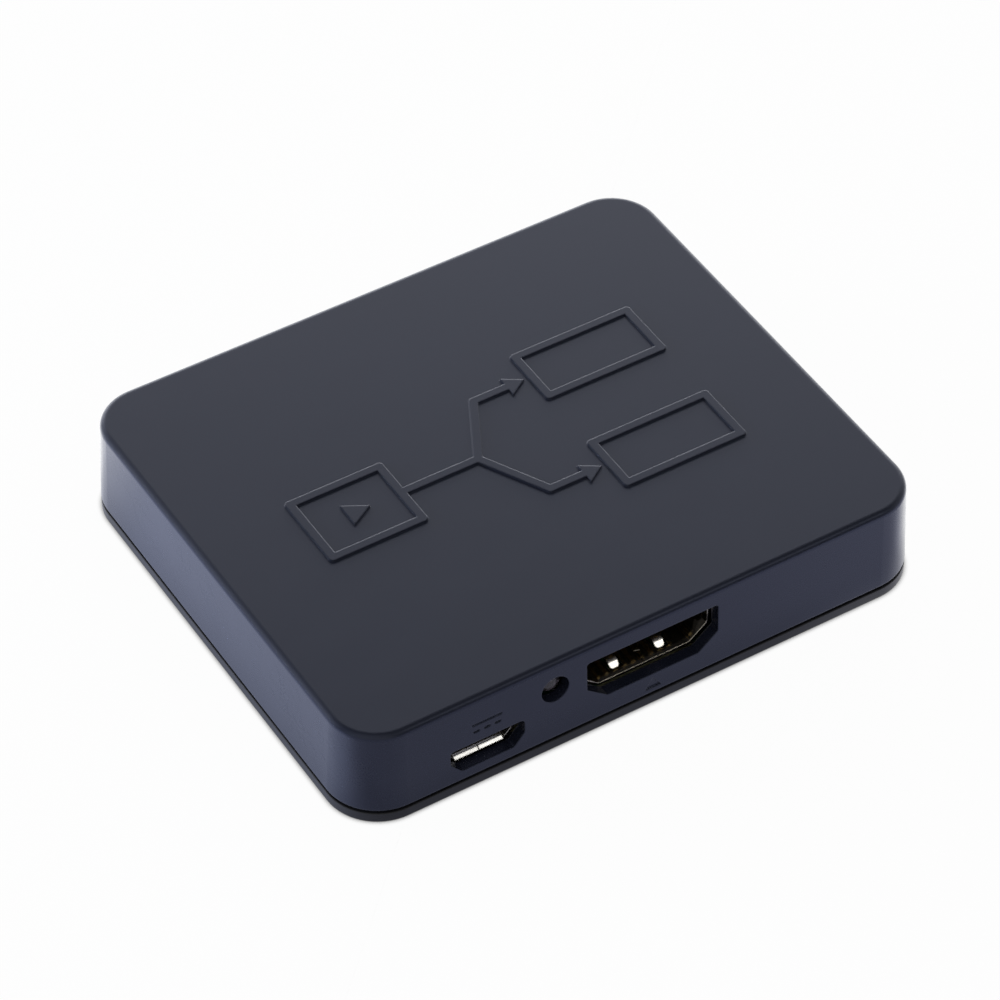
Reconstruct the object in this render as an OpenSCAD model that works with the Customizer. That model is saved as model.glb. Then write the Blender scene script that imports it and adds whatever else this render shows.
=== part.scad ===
// Video splitter: one input socket at the front, two output sockets at the back, in a low moulded case.
// The origin is the middle of the underside, +X runs right along the front, +Y to the back, +Z up.

/* [Case] */
// Width of the case along the front
case_w = 64; // [62:0.5:80]
// Depth of the case from front to back
case_d = 53.6; // [52:0.2:70]
// Height of the case
case_h = 11.1; // [10.8:0.1:15]
// Radius of the upright corners
corner_r = 5.5; // [4:0.1:7]
// Thickness of the walls
wall = 1.2; // [1:0.05:1.6]
// Thickness of the roof
roof = 1.3; // [1:0.05:1.5]
// How far a wall leans inward from its foot to the roof
wall_lean = 0.45; // [0.1:0.05:0.7]
// Radius of the rounded edge round the roof
edge_r = 0.65; // [0.3:0.05:1]

/* [Base] */
// Height of the base edge that shows under the lid
base_h = 1.1; // [1:0.05:1.5]
// Bevel along the foot of the base edge
foot_bevel = 0.08; // [0.05:0.01:0.4]
// Bevel along the top of the base edge
brow_bevel = 0.06; // [0.04:0.01:0.2]
// Height of the shadow line between base and lid
shadow_h = 0.45; // [0.1:0.05:0.6]
// Height of the locating lip above the base edge
lip_h = 1; // [0.6:0.05:1.1]
// Thickness of the locating lip
lip_t = 0.9; // [0.6:0.05:1.2]
// Gap between the lip and the inside of the lid
lip_gap = 0.15; // [0.1:0.05:0.3]
// Height of the pillars that carry the board
pillar_h = 0.35; // [0.3:0.05:0.8]

/* [Screws and bosses] */
// Diameter of the screw shank
screw_d = 2; // [1.6:0.1:2.4]
// Diameter of the countersunk head
head_d = 3.8; // [3.2:0.1:3.9]
// How far the head lies below the underside
head_sink = 0.05; // [0:0.05:0.2]
// Length of the screw from its head to its tip
screw_len = 6.4; // [5:0.1:7.5]
// Diameter of the bosses and pillars
boss_d = 5; // [4:0.1:5.4]
// Distance of the bosses from the edges of the board
boss_inset = 3.4; // [3:0.1:4]
// Room round the shank in the base and the board
shank_room = 0.1; // [0.05:0.05:0.2]
// Room round the shank in the boss
thread_room = 0.03; // [0.02:0.01:0.05]

/* [Board] */
// Thickness of the circuit board
board_t = 1; // [0.8:0.1:1.2]
// Gap between the board and the lip
board_gap = 0.35; // [0.2:0.05:0.6]
// Radius of the board's corners
board_corner_r = 3; // [1:0.1:4]
// How far pins stand out below the board
pin_past = 0.2; // [0.1:0.05:0.25]
// Gap round a shell leg in its slot of the board
slot_room = 0.1; // [0.05:0.01:0.2]

/* [Video sockets] */
// Place of the input socket along the front
input_x = 0.35; // [-1:0.05:3]
// Spacing of the two output sockets along the back
output_gap = 26; // [18:0.5:32]
// Gap between a socket's shell and the ceiling of the lid
socket_headroom = 0.95; // [0.5:0.05:1.3]
// Width of the opening
video_w = 14; // [13.8:0.1:14.4]
// Height of the opening
video_h = 4.55; // [4.5:0.05:4.7]
// Width of the flat floor between the bevels
video_flat = 10.1; // [9.6:0.1:10.6]
// Height of the bevels beside the floor
video_bevel = 1.65; // [1.4:0.05:1.9]
// Length of the shell
video_len = 11.2; // [10.9:0.1:12]
// Thickness of the shell's sheet
shell_t = 0.3; // [0.2:0.05:0.35]
// Gap between a shell's rim and the inside of the lid
rim_gap = 0.05; // [0.03:0.01:0.2]
// Width of the seam where the folded shell meets
seam_w = 0.06; // [0.05:0.01:0.12]
// Play of the lid's cut-out beside the opening
video_play_side = 0.3; // [0.2:0.05:0.5]
// Play of the lid's cut-out below the opening
video_play_below = 0.12; // [0.05:0.01:0.2]
// Play of the lid's cut-out above the opening
video_play_above = 0.5; // [0.2:0.05:0.6]

/* [Spring fingers] */
// Distance of a pair's fingers from each other
finger_gap = 5.1; // [4:0.1:6]
// Width of a finger
finger_w = 1.05; // [0.9:0.05:1.4]
// Radius of the corners of a finger's tip
finger_r = 0.3; // [0.1:0.05:0.4]
// Distance of the finger tips behind the rim
finger_tip = 1; // [0.8:0.05:1.4]
// Length of a finger from its root to its tip
finger_len = 6.4; // [5.5:0.1:6.6]
// How far a finger bulges into the opening
finger_lift = 0.4; // [0.2:0.02:0.44]
// Length of the steep slope at the front of a finger
finger_front = 1.15; // [0.8:0.05:1.2]
// Steepness of that slope in degrees
finger_slope = 41; // [30:1:42]
// Gap round a finger in its window
finger_room = 0.2; // [0.1:0.02:0.3]
// Gap behind a finger's rounded root
root_room = 0.02; // [0.02:0.01:0.05]

/* [Video contacts] */
// Width of the tongue
tongue_w = 11.8; // [11:0.1:12.4]
// Thickness of the tongue
tongue_t = 1.5; // [1.3:0.05:1.7]
// Height of the tongue's underside above the floor
tongue_z = 1.6; // [1.4:0.05:1.7]
// Distance of the tongue's tip behind the rim
tongue_tip = 1.4; // [1.2:0.05:2]
// Number of contacts on top of the tongue
upper_contacts = 10; // [6:1:10]
// Spacing of the contacts on one side of the tongue
contact_pitch = 1; // [0.9:0.02:1.04]
// Width of a contact on the tongue
contact_w = 0.45; // [0.3:0.05:0.6]
// Width of a contact's tail
tail_w = 0.28; // [0.2:0.02:0.32]
// Thickness of the contacts
contact_t = 0.12; // [0.08:0.01:0.16]

/* [Power inlet] */
// Distance of the inlet's middle from the left side of the case
inlet_side = 14.17; // [13.8:0.01:15.2]
// Width of the opening
inlet_w = 6.95; // [6.9:0.05:7.1]
// Height of the opening
inlet_h = 1.85; // [1.8:0.05:1.95]
// Width of the flat floor between the bevels
inlet_flat = 5.4; // [5:0.1:5.6]
// Height of the bevels beside the floor
inlet_bevel = 0.75; // [0.6:0.05:0.8]
// Length of the shell
inlet_len = 5.4; // [5.2:0.1:6]
// Thickness of the shell's sheet
inlet_t = 0.25; // [0.2:0.05:0.3]
// Length of the flared lips at the mouth of the shell
flare_len = 0.7; // [0.5:0.05:0.75]
// Steepness of the flared lips in degrees
flare_slope = 40; // [30:1:42]
// Width of the tongue
inlet_tongue_w = 3.9; // [3.5:0.1:4.2]
// Number of contacts
inlet_contacts = 5; // [3:1:5]
// Spacing of the contacts
inlet_pitch = 0.65; // [0.6:0.05:0.7]
// Width of the lid's cut-out
inlet_hole_w = 8.05; // [7.8:0.05:8.6]
// Height of the lid's cut-out
inlet_hole_h = 2.95; // [2.4:0.05:3.2]

/* [Lamp] */
// Distance of the lamp from the middle of the input socket
lamp_gap = 10.77; // [10.4:0.01:11.4]
// Distance of the lamp's axis below the ceiling of the lid
lamp_drop = 2.11; // [2:0.01:2.8]
// Diameter of the hole in front of the lamp
lamp_hole_d = 3; // [2.8:0.05:3.4]
// Diameter of the lamp's lens
lamp_d = 2.9; // [2.6:0.05:3]
// Length of the lens with its collar
lamp_len = 5.3; // [4.5:0.1:6]
// Distance of the lens tip behind the outside of the wall
lamp_sink = 0.55; // [0.4:0.05:1.2]
// Thickness of the lamp's wires
lead_t = 0.5; // [0.4:0.05:0.6]

/* [Signs] */
// Height of the raised lines on the roof
sign_h = 0.2; // [0.1:0.05:0.4]
// Width of the raised lines on the roof
line_w = 0.9; // [0.4:0.05:1.2]
// Width of the raised sign on the roof
sign_w = 42; // [30:1:44]
// Depth of the raised sign on the roof
sign_d = 20.4; // [16:0.2:24]
// Depth of the small marks cut into the walls
mark_depth = 0.12; // [0.08:0.02:0.2]
// Width of the lines of the supply sign above the inlet
mark_w = 0.3; // [0.2:0.02:0.36]
// Width of the arrows under the video sockets
arrow_w = 1.8; // [1.2:0.1:2.2]
// Height of the arrows above the foot of the lid
arrow_up = 1.1; // [0.9:0.05:1.2]

/* [Board parts] */
// Side of the distributor chip
chip_side = 10; // [8:0.5:11]
// Leads on each side of the distributor chip
chip_leads = 16; // [8:1:16]
// Spacing of those leads
chip_pitch = 0.5; // [0.4:0.05:0.5]
// Height of the chips' bodies
chip_h = 1.4; // [1:0.1:1.6]
// Gap between a chip's body and the board
chip_lift = 0.1; // [0.05:0.01:0.15]
// Length of the memory chip
memory_len = 4.9; // [4:0.1:5.2]
// Width of the memory chip
memory_w = 3.9; // [3.5:0.1:4]
// Distance of the memory chip from the front of the board
memory_front = 10.15; // [9.8:0.05:11]
// Distance of the memory chip from the right side of the board
memory_side = 12.85; // [11:0.05:13.5]
// Length of the regulator
regulator_len = 6.5; // [5.5:0.1:6.6]
// Width of the regulator
regulator_w = 3.5; // [3:0.1:3.6]
// Height of the regulator's body
regulator_h = 1.6; // [1.4:0.1:1.8]
// Length of the crystal can
crystal_len = 11; // [9:0.5:11]
// Width of the crystal can
crystal_w = 4.6; // [4:0.1:4.8]
// Height of the crystal can
crystal_h = 3.2; // [2.5:0.1:3.6]
// Distance of the crystal from the right side of the board
crystal_side = 10.75; // [10:0.05:11.5]
// Diameter of the electrolytic capacitor cans
can_d = 5; // [4:0.1:5.2]
// Height of the electrolytic capacitor cans
can_h = 4.5; // [4:0.1:5.4]
// Distance of the electrolytic capacitors from the left side of the board
can_side = 7.35; // [6:0.05:8]
// Side of the power inductor
inductor_side = 5; // [4:0.1:5.4]
// Height of the power inductor
inductor_h = 2.4; // [2:0.1:3]
// Distance of the power inductor from the middle of the inlet
inductor_off = 3.33; // [2.5:0.01:4]
// Distance of the surge arrays behind the video sockets
array_gap = 2.6; // [2.2:0.1:2.8]
// Distance of the signal resistors behind the output sockets
resistor_gap = 5.3; // [4.9:0.1:5.6]
// Spacing of the small parts in a row
part_step = 2.4; // [2:0.1:2.4]

/* [Hidden] */
$fn = 64;
eps = 0.01;

lid_z = base_h + shadow_h;
board_z = base_h + pillar_h;
board_top = board_z + board_t;
ceiling_z = case_h - roof;

// Height of a video socket's floor above the board, and the places of the inlet and the lamp
video_floor = ceiling_z - socket_headroom - shell_t - video_h - board_top;
inlet_x = inlet_side - case_w / 2;
lamp_x = input_x - lamp_gap;
lamp_z = ceiling_z - lamp_drop;

// Inset of a wall's face at height z above the underside
function inset(z) = wall_lean * (z - lid_z) / (case_h - lid_z);

// Inside of the lid's foot, the lip and the board, each as a distance in from the case's outline
lip_in = wall + inset(base_h + lip_h) + lip_gap;
board_in = lip_in + lip_t + board_gap;
board_w = case_w - 2 * board_in;
board_d = case_d - 2 * board_in;
boss_x = board_w / 2 - boss_inset;
boss_y = board_d / 2 - boss_inset;
rim_y = case_d / 2 - wall - wall_lean - rim_gap;

video_r = 0.5;
finger_root = finger_tip + finger_len;
finger_nose = shell_t / 2;
crest_y = finger_tip + finger_front;
crest_len = 0.7;
block_y = finger_root + finger_nose + 4 * root_room + 0.4;
tail_y = video_len - shell_t - 0.75;
leg_w = 1.4;
leg_shoulder = 0.4;
video_leg_y = [2.2, 8.2];
video_hole_r = 0.35;
video_hole_more = 0.1;

inlet_floor = inlet_t;
inlet_tongue_tip = 0.9;
inlet_tongue_z = 0.95;
inlet_tongue_t = 0.55;
inlet_block_y = 3.5;
inlet_tail_y = inlet_len - inlet_t - 0.55;
inlet_leg_w = 0.8;
inlet_leg_y = [1, 3.6];
inlet_r = 0.3;
lower_lip_w = inlet_flat - 0.1;
upper_lip_w = inlet_w - 1.2;
lip_bend_len = 0.4;
lip_slit = 0.1;
lip_notch_w = inlet_w + 2;
inlet_hole_flat = inlet_flat + 0.33;
inlet_hole_bevel = 1.3;
inlet_hole_r = 0.45;
inlet_hole_below = 0.05;

lamp_front_y = -case_d / 2 + inset(lamp_z) + lamp_sink;
lamp_collar_t = 1;
lamp_back_y = lamp_front_y + lamp_len;
lead_gap = 2.54;
lead_run = 1.6;

// Places of the pieces on the board, measured from its middle
chip_at = [3, 1];
memory_at = [board_w / 2 - memory_side, memory_front - board_d / 2];
regulator_at = [-13, 1];
crystal_at = [board_w / 2 - crystal_side, -5];
inductor_at = [inlet_x + inductor_off, -9.2];
can_y = [-10.4, -3.4];
can_at = [for (y = can_y) [can_side - board_w / 2, y]];

// Leads leave a body at half its height; each has a width, a reach and a thickness
chip_lead = [0.22, 1, 0.15];
memory_lead = [0.42, 1.05, 0.2];
memory_pitch = 1.27;
regulator_lead = [0.7, 1.7, 0.28];
regulator_tab_w = 3;
regulator_pitch = 2.3;

// Small chip parts: width, length and height
small_capacitor = [0.8, 1.6, 0.8];
supply_capacitor = [1.25, 2, 0.9];
small_resistor = [0.8, 1.6, 0.45];
surge_array = [2.5, 1, 0.6];
array_step = 5.4;
chip_surround = 2.6;
capacitor_step = 3.2;
supply_surround = 1.8;
memory_row = 5;
crystal_base_t = 0.6;
crystal_base_rim = 0.4;
can_base_t = 0.8;
can_base_rim = 0.15;

// Outline helpers: every outline runs anticlockwise

function unit(v) = v / norm(v);
function prior(p, i) = p[(i + len(p) - 1) % len(p)];
function after(p, i) = p[(i + 1) % len(p)];
function outward(a, b) = unit([b[1] - a[1], a[0] - b[0]]);

// The outline moved outward by t
function grown(p, t) = [for (i = [0 : len(p) - 1])
    let (n1 = outward(prior(p, i), p[i]), n2 = outward(p[i], after(p, i)))
    p[i] + t * (n1 + n2) / (1 + n1 * n2)];

// The outline with each corner rounded to radius r in a few chords
function softened(p, r, steps = 4) = [for (i = [0 : len(p) - 1])
    let (u = unit(prior(p, i) - p[i]), v = unit(after(p, i) - p[i]),
         half = acos(u * v) / 2, centre = p[i] + unit(u + v) * r / sin(half),
         n = outward(prior(p, i), p[i]), start = atan2(n[1], n[0]))
    for (k = [0 : steps])
        let (a = start + (180 - 2 * half) * k / steps)
        centre + r * [cos(a), sin(a)]];

// Six-sided socket outline with a flat floor at height 0, bevels beside it and upright sides
function socket_outline(w, h, flat, bevel) = [
    [-flat / 2, 0], [flat / 2, 0], [w / 2, bevel], [w / 2, h], [-w / 2, h], [-w / 2, bevel]];

video_inner = socket_outline(video_w, video_h, video_flat, video_bevel);
inlet_inner = socket_outline(inlet_w, inlet_h, inlet_flat, inlet_bevel);

// Shape helpers

// Runs the outline drawn in X and Z along Y from y0 to y1
module along_y(y0, y1) {
    translate([0, y1, 0]) rotate([90, 0, 0]) linear_extrude(y1 - y0) children();
}

// Runs the outline drawn in Y and Z along X, centred, over the width w
module along_x(w) {
    translate([-w / 2, 0, 0]) rotate([90, 0, 90]) linear_extrude(w) children();
}

module rounded_rect(w, d, r) {
    square([w, d - 2 * r], center = true);
    square([w - 2 * r, d], center = true);
    for (x = [-1, 1], y = [-1, 1]) translate([x * (w / 2 - r), y * (d / 2 - r)]) circle(r);
}

// Block with upright corners of radius r whose side is the given profile: its X is the distance from
// the corner's centre and its Y the height
module profiled_block(w, d, r, z0, z1) {
    for (k = [0 : 3]) {
        turned = k % 2 == 1;
        half_x = (turned ? d : w) / 2 - r;
        half_y = (turned ? w : d) / 2 - r;
        rotate(90 * k) {
            translate([half_x, half_y, 0]) rotate_extrude(angle = 90) children();
            translate([half_x, half_y, 0]) rotate([90, 0, 0]) linear_extrude(2 * half_y) children();
        }
    }
    translate([r - w / 2, r - d / 2, z0]) cube([w - 2 * r, d - 2 * r, z1 - z0]);
}

// Strip of thickness t along a path of points in Y and Z
module bent_strip(path, t) {
    last = len(path) - 1;
    side = [for (i = [0 : last])
        let (n1 = outward(path[max(i - 1, 0)], path[max(i, 1)]),
             n2 = outward(path[min(i, last - 1)], path[min(i + 1, last)]))
        (n1 + n2) / (1 + n1 * n2)];
    polygon(concat([for (i = [0 : last]) path[i] + side[i] * t / 2],
                   [for (i = [last : -1 : 0]) path[i] - side[i] * t / 2]));
}

module at_bosses() {
    for (x = [-1, 1], y = [-1, 1]) translate([x * boss_x, y * boss_y, 0]) children();
}

// Places a socket's floor middle and rim: +Y runs inward, seat is the floor's height above the board
module at_front(x, seat) {
    translate([x, -rim_y, board_top + seat]) children();
}

module at_back(x, seat) {
    translate([x, rim_y, board_top + seat]) rotate(180) children();
}

module at_output(n) {
    at_back((n - 1.5) * output_gap, video_floor) children();
}

// Places a floor's part at the ceiling of a socket of height h
module at_ceiling(h) {
    translate([0, 0, h]) mirror([0, 0, 1]) children();
}

module at_all_video() {
    at_front(input_x, video_floor) children();
    for (n = [1, 2]) at_output(n) children();
}

// Case

// Side of the lid: a leaning wall that ends in the rounded edge, which is drawn in short chords
module lid_profile() {
    steps = 8;
    lean = atan(wall_lean / (case_h - lid_z));
    cz = case_h - edge_r;
    cx = corner_r - inset(cz) - edge_r / cos(lean);
    arc = [for (k = [0 : steps])
        let (a = lean + (90 - lean) * k / steps) [cx + edge_r * cos(a), cz + edge_r * sin(a)]];
    polygon(concat([[0, lid_z], [corner_r, lid_z]], arc, [[0, case_h]]));
}

module hollow_profile() {
    polygon([[0, lid_z - 1], [corner_r - wall - inset(lid_z - 1), lid_z - 1],
             [corner_r - wall - inset(ceiling_z), ceiling_z], [0, ceiling_z]]);
}

// Cut-out for a video socket, seen from outside, with the socket's floor at height 0
module video_cutout() {
    p = socket_outline(video_w + 2 * video_play_side, video_h + video_play_below + video_play_above,
                       video_flat + video_hole_more, video_bevel + video_hole_more);
    translate([0, -video_play_below]) polygon(softened(p, video_hole_r));
}

module inlet_cutout() {
    p = socket_outline(inlet_hole_w, inlet_hole_h, inlet_hole_flat, inlet_hole_bevel);
    translate([0, -inlet_hole_below]) polygon(softened(p, inlet_hole_r));
}

// Straight stroke with round ends, which are a shade wider so that they cross its sides
module stroke(a, b, w) {
    for (p = [a, b]) translate(p) circle(d = 1.04 * w);
    translate((a + b) / 2) rotate(atan2(b[1] - a[1], b[0] - a[0])) square([norm(b - a), w], center = true);
}

module frame_strokes(low, high, w) {
    p = [low, [high[0], low[1]], high, [low[0], high[1]]];
    for (i = [0 : 3]) stroke(p[i], after(p, i), w);
}

// One source feeding two screens, drawn in plain strokes
module roof_pictogram() {
    w = line_w;
    reach = [sign_w, sign_d] / 2;
    source = [0.47 * reach[0], 0.8 * reach[1]];
    fork_x = -0.12 * reach[0];
    bend_x = 0.06 * reach[0];
    screen = [0.62 * reach[0], 0.62 * reach[1]];
    head = 1.3 * w;
    frame_strokes([-reach[0], -source[1] / 2], [source[0] - reach[0], source[1] / 2], w);
    translate([source[0] / 2 - reach[0], 0]) polygon(w * [[1.7, 0], [-1.1, 1.6], [-1.1, -1.6]]);
    stroke([source[0] - reach[0], 0], [fork_x, 0], w);
    for (side = [-1, 1]) {
        y = side * (reach[1] - screen[1] / 2);
        screen_x = reach[0] - screen[0];
        stroke([fork_x, 0], [bend_x, y], w);
        stroke([bend_x, y], [screen_x - 2.4 * head, y], w);
        translate([screen_x - 0.8 * head, y]) polygon(head * [[0, 0], [-1.7, 1.1], [-1.7, -1.1]]);
        frame_strokes([screen_x, y - screen[1] / 2], [reach[0], y + screen[1] / 2], w);
    }
}

// Direct-current sign: a line above three dashes
module supply_sign() {
    w = mark_w;
    stroke([-5 * w, 1.5 * w], [5 * w, 1.5 * w], w);
    for (k = [-1, 0, 1]) stroke([(3.8 * k - 0.7) * w, -1.5 * w], [(3.8 * k + 0.7) * w, -1.5 * w], w);
}

module flow_arrow(up) {
    up_shape = [[-0.5, -0.33], [0.5, -0.33], [0, 0.39]];
    down_shape = [[-0.5, 0.33], [0, -0.39], [0.5, 0.33]];
    polygon(arrow_w * (up ? up_shape : down_shape));
}

// Cuts a mark into the front wall at height z
module wall_mark(x, z) {
    face = -case_d / 2 + inset(z);
    translate([x, 0, z]) along_y(face - 1, face + mark_depth) children();
}

module top_cover() {
    color("#2e303d") difference() {
        union() {
            difference() {
                profiled_block(case_w, case_d, corner_r, lid_z, case_h) lid_profile();
                profiled_block(case_w, case_d, corner_r, lid_z - 1, ceiling_z) hollow_profile();
            }
            at_bosses() translate([0, 0, board_top])
                cylinder(d = boss_d, h = ceiling_z - board_top + roof / 2);
            translate([0, 0, case_h - roof / 4]) linear_extrude(roof / 4 + sign_h) roof_pictogram();
        }
        at_bosses() translate([0, 0, board_top - eps])
            cylinder(d = screw_d + 2 * thread_room, h = ceiling_z - board_top - 1.2);
        at_all_video() along_y(-wall - wall_lean - 1, 1) video_cutout();
        at_front(inlet_x, inlet_floor) along_y(-wall - wall_lean - 1, 1) inlet_cutout();
        translate([lamp_x, -case_d / 2 - 1, lamp_z]) rotate([-90, 0, 0])
            cylinder(d = lamp_hole_d, h = wall + 3);
        wall_mark(inlet_x, lamp_z - mark_w) supply_sign();
        wall_mark(input_x, lid_z + arrow_up) flow_arrow(true);
        rotate(180) for (n = [1, 2]) wall_mark((n - 1.5) * output_gap, lid_z + arrow_up) flow_arrow(false);
    }
}

module base_profile() {
    polygon([[0, 0], [corner_r - foot_bevel, 0], [corner_r, foot_bevel], [corner_r, base_h - brow_bevel],
             [corner_r - brow_bevel, base_h], [0, base_h]]);
}

module bottom_cover() {
    lip_w = case_w - 2 * lip_in;
    lip_d = case_d - 2 * lip_in;
    lip_r = corner_r - lip_in;
    color("#33333a") difference() {
        union() {
            profiled_block(case_w, case_d, corner_r, 0, base_h) base_profile();
            translate([0, 0, base_h]) linear_extrude(lip_h) difference() {
                rounded_rect(lip_w, lip_d, lip_r);
                rounded_rect(lip_w - 2 * lip_t, lip_d - 2 * lip_t, lip_r - lip_t);
            }
            at_bosses() translate([0, 0, base_h]) cylinder(d = boss_d, h = pillar_h);
        }
        translate([inlet_x - lip_notch_w / 2, lip_in - case_d / 2 - 1, base_h + lip_h / 2])
            cube([lip_notch_w, lip_t + 2, lip_h]);
        at_bosses() {
            translate([0, 0, -1]) cylinder(d = screw_d + 2 * shank_room, h = board_z + 2);
            translate([0, 0, head_sink]) cylinder(d1 = head_d, d2 = screw_d, h = (head_d - screw_d) / 2);
            translate([0, 0, -1]) cylinder(d = head_d, h = 1 + head_sink);
        }
    }
}

module case_screws() {
    head_h = (head_d - screw_d) / 2;
    tip_h = screw_d / 2;
    drive_w = head_d / 8;
    color("silver") at_bosses() translate([0, 0, head_sink]) difference() {
        union() {
            cylinder(d1 = head_d, d2 = screw_d, h = head_h);
            translate([0, 0, head_h]) cylinder(d = screw_d, h = screw_len - head_h - tip_h);
            translate([0, 0, screw_len - tip_h]) cylinder(d1 = screw_d, d2 = screw_d / 5, h = tip_h);
        }
        for (a = [0, 90]) rotate(a) cube([head_d * 0.55, drive_w, head_h * 1.3], center = true);
    }
}

// Board

module main_board() {
    color("#1f5a3a") difference() {
        translate([0, 0, board_z]) linear_extrude(board_t) rounded_rect(board_w, board_d, board_corner_r);
        at_bosses() translate([0, 0, board_z - 1]) cylinder(d = screw_d + 2 * shank_room, h = board_t + 2);
        at_all_video() for (side = [-1, 1], y = video_leg_y)
            leg_slot(side * (video_w + shell_t) / 2, y, video_floor, leg_w, shell_t);
        at_front(inlet_x, inlet_floor) for (side = [-1, 1], y = inlet_leg_y)
            leg_slot(side * (inlet_w + inlet_t) / 2, y, inlet_floor, inlet_leg_w, inlet_t);
        for (side = [-1, 1])
            translate([lamp_x + side * lead_gap / 2, lamp_back_y + lead_run - lead_t / 2, board_z])
                cube([lead_t, lead_t, 4 * board_t], center = true);
    }
}

module leg_slot(x, y, seat, w, t) {
    translate([x, y, -seat - board_t / 2])
        cube([t + 2 * slot_room, w + 2 * slot_room, board_t + 2], center = true);
}

// Leg of a folded shell: a shoulder stands on the board and a narrower tab goes through it
module shell_leg(x, y, seat, top, w, shoulder, t) {
    translate([x - t / 2, y - w / 2 - shoulder, -seat]) cube([t, w + 2 * shoulder, seat + top]);
    translate([x - t / 2, y - w / 2, -seat - board_t - pin_past]) cube([t, w, board_t + pin_past + top]);
}

// Video sockets

// Seam where the folded floor meets, with a dovetail tab across it
module floor_seam() {
    y0 = finger_tip + 0.7;
    path = [[0, -1], [0, y0], [0.6, y0 - 0.2], [0.6, y0 + 1], [0, y0 + 0.8], [0, video_len + 1]];
    for (i = [0 : len(path) - 2]) stroke(path[i], path[i + 1], seam_w);
}

module finger_windows() {
    w = finger_w + 2 * finger_room;
    y0 = finger_tip - finger_room;
    y1 = finger_root + finger_nose + root_room;
    for (x = [-1, 1] * finger_gap / 2)
        translate([x - w / 2, y0, -2 * shell_t]) cube([w, y1 - y0, 3 * shell_t]);
}

module video_shell() {
    outer = softened(grown(video_inner, shell_t), video_r + shell_t);
    color("#b9bcc0") difference() {
        union() {
            along_y(0, video_len) difference() {
                polygon(outer);
                polygon(softened(video_inner, video_r));
            }
            along_y(video_len - shell_t, video_len) polygon(outer);
            for (side = [-1, 1], y = video_leg_y)
                shell_leg(side * (video_w + shell_t) / 2, y, video_floor, video_bevel + 1, leg_w,
                          leg_shoulder, shell_t);
        }
        finger_windows();
        at_ceiling(video_h) finger_windows();
        translate([0, 0, -1]) linear_extrude(1 + eps) floor_seam();
        translate([0.3 - video_flat / 2, block_y + 1, -1])
            cube([video_flat - 0.6, video_len - shell_t - block_y - 1, 1 + eps]);
    }
}

module video_insulator() {
    color("#18181a") difference() {
        union() {
            along_y(block_y, tail_y - contact_t) polygon(softened(video_inner, video_r));
            along_x(tongue_w) polygon([[block_y + eps, tongue_z], [block_y + eps, tongue_z + tongue_t],
                [tongue_tip + 0.3, tongue_z + tongue_t], [tongue_tip, tongue_z + tongue_t - 0.3],
                [tongue_tip, tongue_z + 0.3], [tongue_tip + 0.3, tongue_z]]);
        }
        video_contact_rows(block_y - 1);
    }
}

// Both rows of contacts, from distance y behind the rim to the board
module video_contact_rows(y) {
    for (k = [0 : upper_contacts - 1])
        translate([(k - (upper_contacts - 1) / 2) * contact_pitch, 0, 0])
            video_contact(y, tongue_z + tongue_t + contact_t / 2);
    for (k = [0 : upper_contacts - 2])
        translate([(k - (upper_contacts - 2) / 2) * contact_pitch, 0, 0])
            video_contact(y, tongue_z - contact_t / 2);
}

module video_contact(y, z) {
    foot_z = -video_floor + contact_t / 2;
    path = [[y, z], [tail_y, z], [tail_y, foot_z], [video_len + 0.8, foot_z]];
    along_x(tail_w) bent_strip(path, contact_t);
}

// Row of wide contact faces on the tongue, from distance y behind the rim, at height z
module contact_faces(count, y, z) {
    for (k = [0 : count - 1])
        translate([(k - (count - 1) / 2) * contact_pitch - contact_w / 2, y, z])
            cube([contact_w, block_y - y - 0.2, contact_t]);
}

module video_contacts() {
    y0 = tongue_tip + 0.35;
    color("#d8b45a") {
        video_contact_rows(y0);
        contact_faces(upper_contacts, y0, tongue_z + tongue_t);
        contact_faces(upper_contacts - 1, y0, tongue_z - contact_t);
    }
}

// Fall of a strip, u after the start of a bend over the length turn that leads into a slope of one in one
function bend_fall(u, turn) = u < turn ? u * u / (2 * turn) : u - turn / 2;

// Height of a finger's middle plane at distance y behind the rim: from the root it swells up to a crest,
// then it turns over into a straight slope down to the tip
function swell(y) = finger_lift * (1 + cos(180 * max(y - crest_y, 0) / (finger_root - crest_y))) / 2;
function finger_height(y) =
    swell(y) - tan(finger_slope) * bend_fall(max(crest_y - y, 0), crest_len) - shell_t / 2;

module spring_fingers() {
    stations = 12;
    turns = 6;
    rise = [for (i = [0 : stations]) finger_root + (crest_y - finger_root) * i / stations];
    bend = [for (i = [1 : turns]) crest_y - crest_len * i / turns];
    path = [for (y = concat(rise, bend, [finger_tip])) [y, finger_height(y)]];
    half = finger_w / 2;
    end = finger_root + finger_len;
    outline = [[-half, finger_tip], [half, finger_tip], [half, end], [-half, end]];
    color("#d0d2d4") for (x = [-1, 1] * finger_gap / 2) translate([x, 0, 0]) {
        along_x(finger_w) translate([finger_root, -shell_t / 2]) circle(finger_nose);
        intersection() {
            along_x(finger_w) bent_strip(path, shell_t);
            translate([0, 0, -video_h]) linear_extrude(2 * video_h)
                polygon(softened(outline, finger_r));
        }
    }
}

module upper_spring_fingers() {
    at_ceiling(video_h) spring_fingers();
}

module video_in_shell() { at_front(input_x, video_floor) video_shell(); }
module video_in_insulator() { at_front(input_x, video_floor) video_insulator(); }
module video_in_contacts() { at_front(input_x, video_floor) video_contacts(); }
module video_in_lower_springs() { at_front(input_x, video_floor) spring_fingers(); }
module video_in_upper_springs() { at_front(input_x, video_floor) upper_spring_fingers(); }

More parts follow.
